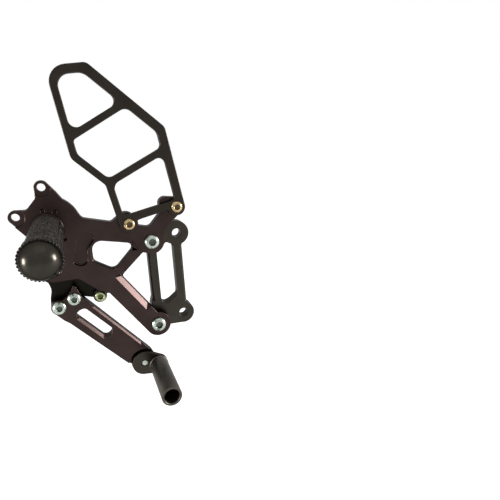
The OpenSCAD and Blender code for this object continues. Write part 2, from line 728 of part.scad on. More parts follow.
module toe_pivot_bolt() {
    color([0.75, 0.78, 0.75])
    mirror([0, 1, 0])
        dome_bolt(toe_pivot, -hub_front - face_gap, small_bolt_d, small_head_d, small_head_h,
            hub_front + face_gap - carrier_front - 0.4, 4.6);
}

module toe_peg_screw() {
    color([0.6, 0.62, 0.6])
    mirror([0, 1, 0])
        dome_bolt(toe_axis, small_head_h + 0.2 - carrier_back, small_bolt_d, small_head_d, small_head_h,
            carrier_t - small_head_h - 0.2 + toe_floor - 1, 4.6);
}

frame_adapter();
main_plate();
heel_guard();
adapter_bolt_upper();
adapter_bolt_lower();
guard_bolt_upper();
guard_bolt_lower();
footpeg_collar();
footpeg_barrel();
footpeg_end_cap();
footpeg_bolt();
pivot_sleeve();
pivot_washer();
pivot_bolt();
pedal_hub();
pedal_bush();
pedal_arm();
arm_bolt_inner();
arm_bolt_outer();
stop_spacer();
stop_bolt();
toe_carrier();
toe_peg();
toe_pivot_bolt();
toe_peg_screw();
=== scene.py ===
"""Rear-set footrest: a machined hanger with its heel guard, knurled footpeg and brake lever.

Metres throughout. X runs forwards, Z upwards and -Y outboard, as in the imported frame.
"""

import json
import logging
import math
from dataclasses import dataclass
from enum import Enum

import bmesh
import bpy
import numpy as np
from numpy.typing import NDArray
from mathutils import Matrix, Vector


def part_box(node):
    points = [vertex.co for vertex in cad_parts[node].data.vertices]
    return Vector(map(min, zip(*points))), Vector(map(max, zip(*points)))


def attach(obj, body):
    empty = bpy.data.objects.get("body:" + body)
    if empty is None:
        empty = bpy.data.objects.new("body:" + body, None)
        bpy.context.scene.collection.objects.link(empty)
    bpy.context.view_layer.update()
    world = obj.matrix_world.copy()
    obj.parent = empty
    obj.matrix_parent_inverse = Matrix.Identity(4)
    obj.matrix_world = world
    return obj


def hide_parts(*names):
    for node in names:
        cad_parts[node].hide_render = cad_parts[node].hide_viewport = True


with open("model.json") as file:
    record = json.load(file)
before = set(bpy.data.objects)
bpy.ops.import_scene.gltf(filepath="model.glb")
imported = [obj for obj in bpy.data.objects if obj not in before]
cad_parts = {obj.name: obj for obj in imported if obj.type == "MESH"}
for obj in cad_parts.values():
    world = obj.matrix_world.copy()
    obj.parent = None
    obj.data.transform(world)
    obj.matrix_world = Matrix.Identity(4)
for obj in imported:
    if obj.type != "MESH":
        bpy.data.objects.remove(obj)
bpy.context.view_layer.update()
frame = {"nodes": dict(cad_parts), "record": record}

log = logging.getLogger("rearset")

Colour = tuple[float, float, float]
# X, Y and Z of a place, of a direction or of a stretch
Triple = tuple[float, float, float]
Points = NDArray[np.float64]
Socket = bpy.types.NodeSocket

MM = 0.001
# Points nearer than this are one point
MERGE_WITHIN = 0.002 * MM
# Angle in degrees above which an edge counts as hard
HARD_EDGE = 32.0
# Steps across the round of a broken edge
ROUND_STEPS = 3
# Radius of a hole that a large bolt passes through
LARGE_BORE_R = 4.2 * MM
# Range in which most of a noise pattern lies
NOISE_LOW, NOISE_HIGH = 0.3, 0.7
# Numbers of a Mix node's sockets when it mixes colours
MIX_FACTOR, MIX_DARK, MIX_LIGHT, MIX_RESULT = 0, 6, 7, 2
BODY_OF: dict[str, str] = {
    node: body
    for body, nodes in frame["record"]["behaviour"]["bodies"].items()
    for node in nodes
}


def dimmed(colour: Colour, share: float) -> Colour:
    """Return a colour with every channel times a share."""
    return tuple(c * share for c in colour)


class Swatch:
    """A node material in the making: one Principled surface and the patterns that feed it."""

    def __init__(self, name: str) -> None:
        """Start an empty material.

        Args:
            name: Name of the material.
        """
        self.material = bpy.data.materials.new(name)
        self.material.use_nodes = True
        self.tree = self.material.node_tree
        self.tree.nodes.clear()
        self.surface = self.tree.nodes.new("ShaderNodeBsdfPrincipled")
        output = self.tree.nodes.new("ShaderNodeOutputMaterial")
        self.tree.links.new(self.surface.outputs["BSDF"], output.inputs["Surface"])
        self.place = self.tree.nodes.new("ShaderNodeTexCoord").outputs["Object"]

    def stretched(self, scale: Triple) -> Socket:
        """Place on the piece, stretched along its axes.

        Args:
            scale: Factor along X, Y and Z.

        Returns:
            The stretched place.
        """
        mapping = self.tree.nodes.new("ShaderNodeMapping")
        mapping.inputs["Scale"].default_value = scale
        self.tree.links.new(self.place, mapping.inputs["Vector"])
        return mapping.outputs["Vector"]

    def noise(self, size: float, detail: float = 2.0, stretch: Triple = (1, 1, 1)) -> Socket:
        """Soft random pattern.

        Args:
            size: Width of one patch in metres.
            detail: Number of finer layers on top.
            stretch: Factor along X, Y and Z.

        Returns:
            The pattern, from 0 to 1.
        """
        node = self.tree.nodes.new("ShaderNodeTexNoise")
        node.inputs["Scale"].default_value = 1.0 / size
        node.inputs["Detail"].default_value = detail
        self.tree.links.new(self.stretched(stretch), node.inputs["Vector"])
        return node.outputs["Fac"]

    def relief(self) -> Socket:
        """Return the height that each point of the piece carries, from 0 to 1, which the knurled and plated
        finishes use as the mask for painted shade.
        """
        node = self.tree.nodes.new("ShaderNodeAttribute")
        node.attribute_name = "relief"
        return node.outputs["Fac"]

    def product(self, first: Socket, second: Socket) -> Socket:
        """Return two patterns multiplied."""
        node = self.tree.nodes.new("ShaderNodeMath")
        node.operation = "MULTIPLY"
        self.tree.links.new(first, node.inputs[0])
        self.tree.links.new(second, node.inputs[1])
        return node.outputs[0]

    def spread(self, value: Socket, low: float, high: float) -> Socket:
        """Carry the middle of a 0 to 1 pattern, where noise mostly lies, on to another range.

        Args:
            value: The pattern.
            low: Result where the pattern is dark.
            high: Result where the pattern is bright.

        Returns:
            The spread pattern.
        """
        node = self.tree.nodes.new("ShaderNodeMapRange")
        node.inputs["From Min"].default_value = NOISE_LOW
        node.inputs["From Max"].default_value = NOISE_HIGH
        node.inputs["To Min"].default_value = low
        node.inputs["To Max"].default_value = high
        self.tree.links.new(value, node.inputs["Value"])
        return node.outputs["Result"]

    def blended(self, factor: Socket, dark: Colour, light: Colour | Socket) -> Socket:
        """Two colours mixed by a pattern.

        Args:
            factor: The pattern, 0 for the dark colour and 1 for the light one.
            dark: First colour.
            light: Second colour, or a coloured pattern.

        Returns:
            The mixed colour.
        """
        node = self.tree.nodes.new("ShaderNodeMix")
        node.data_type = "RGBA"
        node.inputs[MIX_DARK].default_value = (*dark, 1.0)
        if isinstance(light, tuple):
            node.inputs[MIX_LIGHT].default_value = (*light, 1.0)
        else:
            self.tree.links.new(light, node.inputs[MIX_LIGHT])
        self.tree.links.new(factor, node.inputs[MIX_FACTOR])
        return node.outputs[MIX_RESULT]

    def clouded(self, tint: Colour, size: float, darkest: float) -> Socket:
        """Tint with darker clouds in it.

        Args:
            tint: The brightest colour.
            size: Width of one cloud in metres.
            darkest: Share of the tint that is left in the darkest clouds.

        Returns:
            The clouded colour.
        """
        clouds = self.spread(self.noise(size, detail=3.0), 0.0, 1.0)
        return self.blended(clouds, dimmed(tint, darkest), tint)

    def raised(self, height: Socket, depth: float) -> None:
        """Let a pattern stand out of the surface.

        Args:
            height: The pattern.
            depth: Its height in metres.
        """
        node = self.tree.nodes.new("ShaderNodeBump")
        node.inputs["Strength"].default_value = 1.0
        node.inputs["Distance"].default_value = depth
        self.tree.links.new(height, node.inputs["Height"])
        self.tree.links.new(node.outputs["Normal"], self.surface.inputs["Normal"])

    def feed(self, socket: str, value: Socket) -> None:
        """Join a pattern to a socket of the surface."""
        self.tree.links.new(value, self.surface.inputs[socket])

    def fix(self, socket: str, value: float | Colour) -> None:
        """Set a socket of the surface to one value all over."""
        self.surface.inputs[socket].default_value = (*value, 1.0) if isinstance(value, tuple) else value


@dataclass(frozen=True)
class AnodisedFinish:
    """Blasted and anodised aluminium: a dark tinted metal with a fine grain and faint clouds."""

    name: str
    slot: str
    tint: Colour
    roughness: float = 0.32
    edge_tint: float = 0.5
    cloud: float = 0.22
    cloud_size: float = 14.0 * MM
    speckle_size: float = 0.8 * MM
    grain_size: float = 0.25 * MM
    grain_depth: float = 0.0006 * MM

    def mixed(self) -> bpy.types.Material:
        """Return the node material."""
        swatch = Swatch(self.name)
        swatch.feed("Base Color", swatch.clouded(self.tint, self.cloud_size, 1.0 - self.cloud))
        speckle = swatch.noise(self.speckle_size)
        swatch.feed("Roughness", swatch.spread(speckle, self.roughness - 0.02, self.roughness + 0.03))
        swatch.raised(swatch.noise(self.grain_size, detail=1.0), self.grain_depth)
        swatch.fix("Specular Tint", (self.edge_tint,) * 3)
        swatch.fix("Metallic", 1.0)
        return swatch.material


@dataclass(frozen=True)
class PlatedFinish:
    """Zinc-plated or ground steel: turning marks, a thin bloom, and painted shade inside a bolt's socket."""

    name: str
    slot: str
    tint: Colour
    roughness: float = 0.24
    bloom: float = 0.3
    bloom_size: float = 2.2 * MM
    # Share of the tint left in a bolt's socket as painted shade
    painted_socket_shade: float = 0.16
    mark_size: float = 0.5 * MM
    mark_depth: float = 0.006 * MM

    def mixed(self) -> bpy.types.Material:
        """Return the node material."""
        swatch = Swatch(self.name)
        open_face = swatch.clouded(self.tint, self.bloom_size, 1.0 - self.bloom)
        # Painted shade: where the relief is 0, in a bolt's socket, the colour falls to this darker tone
        socket_shade_tone = dimmed(self.tint, self.painted_socket_shade)
        swatch.feed("Base Color", swatch.blended(swatch.relief(), socket_shade_tone, open_face))
        marks = swatch.noise(self.mark_size, stretch=(1.0, 4.0, 1.0))
        swatch.feed("Roughness", swatch.spread(marks, self.roughness - 0.05, self.roughness + 0.08))
        swatch.raised(marks, self.mark_depth)
        swatch.fix("Metallic", 1.0)
        return swatch.material


@dataclass(frozen=True)
class KnurledFinish:
    """Anodised knurl: painted shade in its grooves and bright with wear on its peaks, by the relief
    attribute.
    """

    name: str
    slot: str
    # Colour in the grooves, darker than the anodise as painted shade
    groove: Colour
    peak: Colour
    roughness: float = 0.36
    edge_tint: float = 0.5
    wear_size: float = 1.1 * MM
    speckle_size: float = 0.5 * MM
    grain_size: float = 0.3 * MM
    grain_depth: float = 0.006 * MM

    def mixed(self) -> bpy.types.Material:
        """Return the node material."""
        swatch = Swatch(self.name)
        # Painted shade and wear: low relief, in the grooves, takes the dark groove colour as painted shade,
        # and patchy noise over the peaks brightens them as wear
        patchy = swatch.spread(swatch.noise(self.wear_size), -0.35, 1.15)
        wear_and_groove_shade = swatch.product(swatch.relief(), patchy)
        swatch.feed("Base Color", swatch.blended(wear_and_groove_shade, self.groove, self.peak))
        speckle = swatch.noise(self.speckle_size)
        swatch.feed("Roughness", swatch.spread(speckle, self.roughness - 0.06, self.roughness + 0.06))
        swatch.raised(swatch.noise(self.grain_size, detail=1.0), self.grain_depth)
        swatch.fix("Specular Tint", (self.edge_tint,) * 3)
        swatch.fix("Metallic", 1.0)
        return swatch.material


@dataclass(frozen=True)
class LacquerFinish:
    """Smooth black lacquer over metal: dark, glossy and softened by faint handling haze."""

    name: str
    slot: str
    tint: Colour
    roughness: float = 0.21
    haze: float = 0.08
    haze_size: float = 3.0 * MM
    edge_tint: float = 0.42
    cloud_size: float = 6.0 * MM
    darkest: float = 0.82
    ripple_size: float = 1.5 * MM
    ripple_depth: float = 0.002 * MM

    def mixed(self) -> bpy.types.Material:
        """Return the node material."""
        swatch = Swatch(self.name)
        swatch.feed("Base Color", swatch.clouded(self.tint, self.cloud_size, self.darkest))
        smear = swatch.noise(self.haze_size, detail=4.0, stretch=(1.0, 1.0, 2.5))
        swatch.feed("Roughness", swatch.spread(smear, self.roughness, self.roughness + self.haze))
        swatch.raised(swatch.noise(self.ripple_size), self.ripple_depth)
        swatch.fix("Specular Tint", (self.edge_tint,) * 3)
        swatch.fix("Metallic", 1.0)
        return swatch.material


@dataclass(frozen=True)
class RubberFinish:
    """Dull black plastic or rubber with a fine moulded grain."""

    name: str
    slot: str
    tint: Colour
    cloud_size: float = 2.0 * MM
    darkest: float = 0.7
    speckle_size: float = 0.6 * MM
    grain_size: float = 0.35 * MM
    grain_depth: float = 0.02 * MM

    def mixed(self) -> bpy.types.Material:
        """Return the node material."""
        swatch = Swatch(self.name)
        swatch.feed("Base Color", swatch.clouded(self.tint, self.cloud_size, self.darkest))
        swatch.feed("Roughness", swatch.spread(swatch.noise(self.speckle_size), 0.45, 0.6))
        swatch.raised(swatch.noise(self.grain_size), self.grain_depth)
        return swatch.material


class Finish(Enum):
    """Every finish on the assembly, each with the record's material slot that it belongs to."""

    ADAPTER_BLACK = AnodisedFinish("adapter_black", "black_anodised", (0.038, 0.033, 0.027))
    # Painted shade: the hub's black anodise is a darker copy of the adapter's, for the shade the hub sits in
    # behind the plate
    HUB_BLACK = AnodisedFinish("hub_black_painted_shade", "black_anodised", (0.011, 0.010, 0.008))
    TOE_BLACK = AnodisedFinish("toe_black", "black_anodised", (0.072, 0.066, 0.056),
                               roughness=0.46, edge_tint=0.9)
    PLATE_BROWN = AnodisedFinish("plate_brown", "brown_anodised", (0.037, 0.0255, 0.0235))
    GUARD_GREY = AnodisedFinish("guard_grey", "grey_anodised", (0.031, 0.026, 0.022))
    PEG_BLACK = KnurledFinish("peg_black", "peg_anodised", (0.012, 0.011, 0.010), (0.14, 0.125, 0.11))
    CAP_LACQUER = LacquerFinish("cap_lacquer", "gloss_black", (0.037, 0.034, 0.028))
    STOP_RUBBER = RubberFinish("stop_rubber", "black_plastic", (0.012, 0.012, 0.012))
    SILVER_ZINC = PlatedFinish("zinc_silver", "silver_zinc", (0.40, 0.45, 0.39))
    GOLD_ZINC = PlatedFinish("zinc_gold", "gold_zinc", (0.46, 0.34, 0.185))
    OLIVE_ZINC = PlatedFinish("zinc_olive", "olive_zinc", (0.40, 0.45, 0.235))
    GROUND_STEEL = PlatedFinish("ground_steel", "bright_steel", (0.42, 0.42, 0.42),
                                roughness=0.2, bloom=0.15)
    BUSH_BRONZE = PlatedFinish("bearing_bronze", "bush_bronze", (0.42, 0.30, 0.13),
                               roughness=0.32, bloom=0.2)

    def material(self) -> bpy.types.Material:
        """Return the finish's material, mixed the first time it is asked for."""
        return bpy.data.materials.get(self.value.name) or self.value.mixed()


class BoltSize(Enum):
    """Button-head bolts as shank diameter, head height and key width across the flats."""

    LARGE = (8.0 * MM, 4.4 * MM, 5.8 * MM)
    SMALL = (6.0 * MM, 3.3 * MM, 4.6 * MM)


def centre_of(node: str) -> tuple[float, float]:
    """Return the X and Z of the middle of a CAD node."""
    low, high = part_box(node)
    return (low.x + high.x) / 2, (low.z + high.z) / 2


def install(piece: bpy.types.Object, finish: Finish, *nodes: str) -> None:
    """Dress a finished piece and let it stand for its CAD nodes.

    Args:
        piece: The new object.
        finish: Its finish.
        nodes: CAD nodes that it replaces, all on one body.
    """
    piece.data.materials.clear()
    piece.data.materials.append(finish.material())
    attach(piece, BODY_OF[nodes[0]])
    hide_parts(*nodes)
    log.info("%s: %d faces, %s, on %s", piece.name, len(piece.data.polygons),
             finish.value.slot, BODY_OF[nodes[0]])


def linked(name: str, mesh: bpy.types.Mesh) -> bpy.types.Object:
    """Return a new object in the scene that holds the mesh."""
    piece = bpy.data.objects.new(name, mesh)
    bpy.context.scene.collection.objects.link(piece)
    return piece


def merge_points(mesh: bpy.types.Mesh) -> None:
    """Join the points of a mesh that lie in one place."""
    skin = bmesh.new()
    skin.from_mesh(mesh)
    bmesh.ops.remove_doubles(skin, verts=skin.verts, dist=MERGE_WITHIN)
    skin.to_mesh(mesh)
    skin.free()


def closed_skin(name: str, points: Points, crease: float = HARD_EDGE,
                relief: Points | None = None) -> bpy.types.Object:
    """Skin over a grid of points whose second parameter wraps round.

    Face (i, j) joins points (i, j), (i, j+1), (i+1, j+1) and (i+1, j), with j+1 taken modulo the
    number of columns. The enclosed volume, a sixth of the sum of the corners' triple products,
    is made positive by turning the faces round, so that they point outwards. Rows whose points
    all coincide close into poles.

    Args:
        name: Name of the piece.
        points: Array of rows by columns by 3.
        crease: Angle in degrees above which an edge stays sharp.
        relief: Height of each point, from 0 to 1, that a finish reads and paints as shade where it is low,
            or None for 1 all over.

    Returns:
        The new object.
    """
    rows, columns = points.shape[:2]
    index = np.arange(rows * columns).reshape(rows, columns)
    after = np.roll(index, -1, axis=1)
    quads = np.stack([index[:-1], after[:-1], after[1:], index[1:]], axis=-1).reshape(-1, 4)
    corner = points.reshape(-1, 3)[quads]
    triple = np.einsum("ij,ij->i", corner[:, 0], np.cross(corner[:, 1], corner[:, 2]))
    triple += np.einsum("ij,ij->i", corner[:, 0], np.cross(corner[:, 2], corner[:, 3]))
    if triple.sum() < 0:
        quads = quads[:, ::-1]
    mesh = bpy.data.meshes.new(name)
    mesh.from_pydata(points.reshape(-1, 3).tolist(), [], quads.tolist())
    heights = np.ones(points.shape[:2]) if relief is None else relief
    layer = mesh.attributes.new("relief", "FLOAT", "POINT")
    layer.data.foreach_set("value", heights.astype(np.float32).ravel())
    merge_points(mesh)
    mesh.shade_smooth()
    mesh.set_sharp_from_angle(angle=math.radians(crease))
    return linked(name, mesh)


def turned(name: str, centre: tuple[float, float], profile: list[tuple[float, float]],
           around: int = 96) -> bpy.types.Object:
    """Solid of revolution about an axis along Y.

    The point at row i and angle t is the centre plus radius_i times (cos t, sin t) in X and Z,
    at depth y_i.

    Args:
        name: Name of the piece.
        centre: X and Z of the axis.
        profile: Radius and Y of each row, from pole to pole or back to its start for a ring.
        around: Number of columns.

    Returns:
        The new object.
    """
    radius, depth = np.array(profile).T[:, :, None]
    turn = np.linspace(0.0, 2.0 * np.pi, around, endpoint=False)[None, :]
    points = np.stack([centre[0] + radius * np.cos(turn), depth + 0.0 * turn,
                       centre[1] + radius * np.sin(turn)], axis=-1)
    return closed_skin(name, points)


def arched(count: int, start: tuple[float, float], end: tuple[float, float],
           bulge: float) -> list[tuple[float, float]]:
    """Arc between two points of a profile.

    The point at t from 0 to 1 is start plus t times the chord, moved square to it by the
    circle's height over the chord at t.

    Args:
        count: Number of points.
        start: First radius and Y.
        end: Last radius and Y.
        bulge: Greatest height over the chord, to the left of it, or to the right where negative.

    Returns:
        The points, both ends included.
    """
    first, last = np.array(start), np.array(end)
    chord = np.linalg.norm(last - first)
    side = np.array([first[1] - last[1], last[0] - first[0]]) / chord
    radius = (chord ** 2 / 4 + bulge ** 2) / (2 * bulge)
    t = np.linspace(0.0, 1.0, count)[:, None]
    height = np.sqrt(radius ** 2 - ((t - 0.5) * chord) ** 2) - abs(radius) + abs(bulge)
    arc = first + t * (last - first) + math.copysign(1.0, bulge) * height * side
    return [tuple(p) for p in arc.tolist()]


def ramp(value: Points, start: float, width: float, low: float = 0.0) -> Points:
    """Share of a width that each value lies past a start, held between a low share and 1.

    Args:
        value: The values.
        start: Value at which the share is 0.
        width: Distance past the start at which it is 1.
        low: Least share.

    Returns:
        The shares.
    """
    return np.clip((value - start) / width, low, 1.0)


def machined(name: str, node: str, edge: float) -> bpy.types.Object:
    """Milled part: a CAD node's merged skin with every hard edge broken by a small round.

    The normals are weighted by the faces' areas, so that a flat face stays flat beside a round.

    Args:
        name: Name of the piece.
        node: CAD node whose shape it has.
        edge: Width of the broken edge in metres.

    Returns:
        The new object.
    """
    mesh = frame["nodes"][node].data.copy()
    mesh.name = name
    merge_points(mesh)
    mesh.shade_smooth()
    piece = linked(name, mesh)
    bevel = piece.modifiers.new("broken_edges", "BEVEL")
    bevel.width = edge
    bevel.segments = ROUND_STEPS
    bevel.limit_method = "ANGLE"
    bevel.angle_limit = math.radians(HARD_EDGE)
    bevel.use_clamp_overlap = False
    bevel.loop_slide = False
    weigh = piece.modifiers.new("flat_faces", "WEIGHTED_NORMAL")
    weigh.mode = "FACE_AREA"
    weigh.weight = 100
    return piece


@dataclass
class SocketBolt:
    """Button-head bolt along Y with a hexagon socket in its domed head.

    Row i of the skin has radius r_i and depth y_i. Its outline is a circle on the shank and the
    dome and blends to the hexagon's, apothem over the cosine of the angle to the nearest flat's
    middle, in the socket. Its relief is 1 in the open and 0 in the socket, which the plated
    finish darkens as painted shade.
    """

    node: str
    size: BoltSize
    finish: Finish
    outboard: bool = True
    around: int = 96
    tip_chamfer: float = 0.6 * MM
    rim_share: float = 0.22
    dome_share: float = 0.16
    land_share: float = 1.32

    def build(self) -> None:
        """Build the bolt where its CAD node is, and dress it."""
        low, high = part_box(self.node)
        x, z = centre_of(self.node)
        head_h = self.size.value[1]
        rows = self.profile((high.x - low.x) / 2, high.y - low.y - head_h)
        radius, height, hexed = np.array(rows).T[:, :, None]
        turn = np.linspace(0.0, 2.0 * np.pi, self.around, endpoint=False)[None, :]
        nearest = np.mod(turn + np.pi / 6, np.pi / 3) - np.pi / 6
        hexagon = 1.0 / np.cos(nearest)
        reach = radius * ((1.0 - hexed) + hexed * hexagon)
        seat, way = (low.y + head_h, -1.0) if self.outboard else (high.y - head_h, 1.0)
        points = np.stack([x + reach * np.cos(turn), seat + way * height + 0.0 * turn,
                           z + reach * np.sin(turn)], axis=-1)
        name = self.node.replace("_bolt", "_button_bolt").replace("_screw", "_button_screw")
        # Relief 0 in the socket, where the plated finish paints shade
        in_the_open = 1.0 - hexed + 0.0 * turn
        install(closed_skin(name, points, crease=28.0, relief=in_the_open), self.finish, self.node)

    def profile(self, head_r: float, length: float) -> list[tuple[float, float, float]]:
        """Rows of the bolt as radius, height over the seat and share of hexagon.

        Args:
            head_r: Radius of the head.
            length: Length of the shank.

        Returns:
            The rows, from the shank's tip to the socket's floor.
        """
        shank_d, head_h, key = self.size.value
        shank_r, apothem, tip = shank_d / 2, key / 2, self.tip_chamfer
        crown = arched(12, (head_r, self.rim_share * head_h), (apothem * self.land_share, head_h),
                       -self.dome_share * head_h)
        shank = [(0.0, -length), (shank_r - tip, -length), (shank_r, tip - length),
                 (shank_r, -0.02 * MM), (shank_r, 0.0)]
        head = [(head_r - 0.3 * MM, 0.0), (head_r, 0.25 * MM)] + crown
        socket = [(apothem * 1.2, head_h, 0.0), (apothem * 1.08, head_h - 0.15 * MM, 0.5),
                  (apothem, head_h - 0.5 * MM, 1.0), (apothem, 0.30 * head_h, 1.0),
                  (apothem * 0.94, 0.26 * head_h, 1.0), (0.0, 0.14 * head_h, 1.0)]
        return [(r, h, 0.0) for r, h in shank + head] + socket


@dataclass
class Footpeg:
    """Knurled barrel on its collar, with a glossy domed cap in the end."""

    around: int = 288
    along: int = 300
    peak_r: float = 12.5 * MM
    core_r: float = 11.4 * MM
    mouth_r: float = 12.4 * MM
    depth: float = 0.8 * MM
    diamonds: int = 36
    bands: int = 3
    ribbed_share: float = 0.2
    ribbed_from_deg: float = 8.0
    rib_pitch: float = 6.6 * MM
    rib_slot: float = 0.9 * MM
    rib_height: float = 0.82
    plain_root: float = 1.2 * MM
    root_height: float = 0.45
    lip_teeth: int = 36
    lip_length: float = 9.0 * MM
    lip_rise: float = 1.4 * MM
    lip_rounding: float = 2.0 * MM
    lip_groove_back: float = 2.0 * MM
    collar_chamfer: float = 1.3 * MM
    cap_r: float = 12.5 * MM
    cap_h: float = 11.3 * MM
    cap_skirt: float = 0.3 * MM

    def build(self) -> None:
        """Build the collar, the barrel, the cap and the bolt from behind."""
        self.collar()
        self.barrel()
        self.cap()
        SocketBolt("footpeg_bolt", BoltSize.LARGE, Finish.SILVER_ZINC, outboard=False).build()

    def collar(self) -> None:
        """Plain turned ring between the plate and the barrel."""
        low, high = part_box("footpeg_collar")
        r, front, back = (high.x - low.x) / 2, low.y, high.y
        profile = [(LARGE_BORE_R, front), (r - self.collar_chamfer, front), (r - 0.1 * MM, front + 1.1 * MM),
                   (r, front + 1.4 * MM), (r, back - 0.2 * MM), (r - 0.2 * MM, back),
                   (LARGE_BORE_R, back), (LARGE_BORE_R, front)]
        install(turned("peg_collar_ring", centre_of("footpeg_collar"), profile),
                Finish.PLATE_BROWN, "footpeg_collar")

    def relief(self, turn: Points, s: Points, length: float) -> Points:
        """Height of the pattern as a share of the knurl's depth.

        The knurled bands hold diamonds and the narrow bands between them cross ribs, with a
        lengthwise groove between the two. The lip's teeth follow the cosine of the turn, behind
        a turned groove, and the root is plain.

        Args:
            turn: Angle round the axis.
            s: Distance from the root.
            length: Length of the barrel.

        Returns:
            Share of the depth, from 0 in a groove to 1 on a peak.
        """
        phase = np.mod((turn - math.radians(self.ribbed_from_deg)) / (2.0 * np.pi) * self.bands, 1.0)
        to_edge = np.minimum(np.abs(phase - self.ribbed_share), np.minimum(phase, 1.0 - phase))
        groove = ramp(to_edge, 0.004, 0.012, low=0.25)
        body = np.where(phase < self.ribbed_share, self.cross_ribs(s), self.diamond(turn, s)) * groove
        teeth = np.clip(0.7 + 0.8 * np.cos(turn * self.lip_teeth), 0.25, 1.0)
        to_end = length - s
        lip = ramp(self.lip_length - 2.5 * MM - to_end, 0.0, 0.8 * MM)
        gap = np.clip(np.abs(to_end - (self.lip_length - self.lip_groove_back)) / (0.7 * MM) - 0.3, 0.0, 1.0)
        root = ramp(s, self.plain_root, 0.5 * MM)
        return root * gap * (lip * teeth + (1.0 - lip) * body) + (1.0 - root) * self.root_height

    def diamond(self, turn: Points, s: Points) -> Points:
        """Diamonds between two families of helical grooves that cross at the same slope.

        A point's height is its lesser distance to a groove of either family, cut off flat on top.

        Args:
            turn: Angle round the axis.
            s: Distance from the root.

        Returns:
            Share of the depth.
        """
        pitch = 2.0 * np.pi * self.peak_r / self.diamonds
        round_share = turn * self.diamonds / (2.0 * np.pi)
        left = np.abs(np.mod(round_share + s / pitch, 1.0) - 0.5) * 2.0
        right = np.abs(np.mod(round_share - s / pitch, 1.0) - 0.5) * 2.0
        return np.clip(1.7 * np.minimum(1.0 - left, 1.0 - right) + 0.12, 0.0, 1.0)

    def cross_ribs(self, s: Points) -> Points:
        """Flat ribs with one slot across the band at each pitch, as a share of the depth."""
        to_slot = np.abs(np.mod(s / self.rib_pitch, 1.0) - 0.5) * self.rib_pitch
        return ramp(to_slot, self.rib_slot / 2, 0.35 * MM, low=0.05) * self.rib_height

    def barrel(self) -> None:
        """Barrel whose radius over the peaks flares into the lip, less the relief's depth.

        The flare is rise times 3t^2 - 2t^3, with t going from 0 to 1 over the lip's length.
        """
        low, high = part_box("footpeg_barrel")
        x, z = centre_of("footpeg_barrel")
        length = high.y - low.y
        turn = np.linspace(0.0, 2.0 * np.pi, self.around, endpoint=False)[None, :]
        s = np.linspace(0.0, length - 0.4 * MM, self.along)[:, None]
        t = np.clip(1.0 - (length - s - self.lip_rounding) / self.lip_length, 0.0, 1.0)
        peak = self.peak_r + self.lip_rise * t * t * (3.0 - 2.0 * t)
        height = self.relief(turn, s, length)
        wall = peak - self.depth * (1.0 - height)
        ring = np.ones_like(turn)
        end = np.maximum(wall[-1:] - 0.6 * MM, self.mouth_r + 0.3 * MM)
        radius = np.concatenate([0.0 * ring, self.core_r * ring, wall, end, self.mouth_r * ring, 0.0 * ring])
        depth = np.concatenate([[high.y, high.y], high.y - s[:, 0], [low.y, low.y, low.y]])[:, None]
        points = np.stack([x + radius * np.cos(turn), depth + 0.0 * turn,
                           z + radius * np.sin(turn)], axis=-1)
        # Relief rows that the knurled finish paints by: the grooves are low and so painted dark as shade,
        # the lip's teeth are cut to 0.35 of their height and so painted darker, and the faces at the root
        # and under the cap are low and painted dark as shade between parts
        on_lip = length - s < self.lip_length - self.lip_groove_back
        darker_lip_heights = np.where(on_lip, 0.35 * height, height)
        groove_and_end_shade = np.concatenate([0.2 * ring, 0.2 * ring, darker_lip_heights, 0.1 * ring, 0.05 * ring, 0.05 * ring])
        install(closed_skin("peg_barrel_knurled", points, crease=55.0, relief=groove_and_end_shade),
                Finish.PEG_BLACK, "footpeg_barrel")

    def cap(self) -> None:
        """Glossy dome over a short cylindrical skirt.

        The dome's profile is a quarter of an ellipse: radius R cos a and height H sin a, with a
        going from a right angle at the crown to 0 at the skirt.
        """
        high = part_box("footpeg_end_cap")[1]
        a = np.linspace(0.5 * np.pi, 0.0, 48)
        radius = self.cap_r * np.cos(a)
        radius[0] = 0.0
        depth = high.y - self.cap_skirt - (self.cap_h - self.cap_skirt) * np.sin(a)
        profile = list(zip(radius.tolist(), depth.tolist())) + [(self.cap_r, high.y), (0.0, high.y)]
        install(turned("peg_end_dome", centre_of("footpeg_end_cap"), profile, around=144),
                Finish.CAP_LACQUER, "footpeg_end_cap")


@dataclass
class Hanger:
    """Adapter, hanger plate and heel guard with the four bolts that hold them."""

    adapter_edge: float = 0.5 * MM
    plate_edge: float = 0.6 * MM
    guard_edge: float = 0.8 * MM

    def build(self) -> None:
        """Build the three milled parts and their bolts."""
        install(machined("adapter_casting", "frame_adapter", self.adapter_edge),
                Finish.ADAPTER_BLACK, "frame_adapter")
        install(machined("hanger_plate", "main_plate", self.plate_edge),
                Finish.PLATE_BROWN, "main_plate")
        install(machined("heel_guard_frame", "heel_guard", self.guard_edge),
                Finish.GUARD_GREY, "heel_guard")
        for place in ("upper", "lower"):
            SocketBolt(f"adapter_bolt_{place}", BoltSize.LARGE, Finish.SILVER_ZINC).build()
            SocketBolt(f"guard_bolt_{place}", BoltSize.SMALL, Finish.GOLD_ZINC).build()


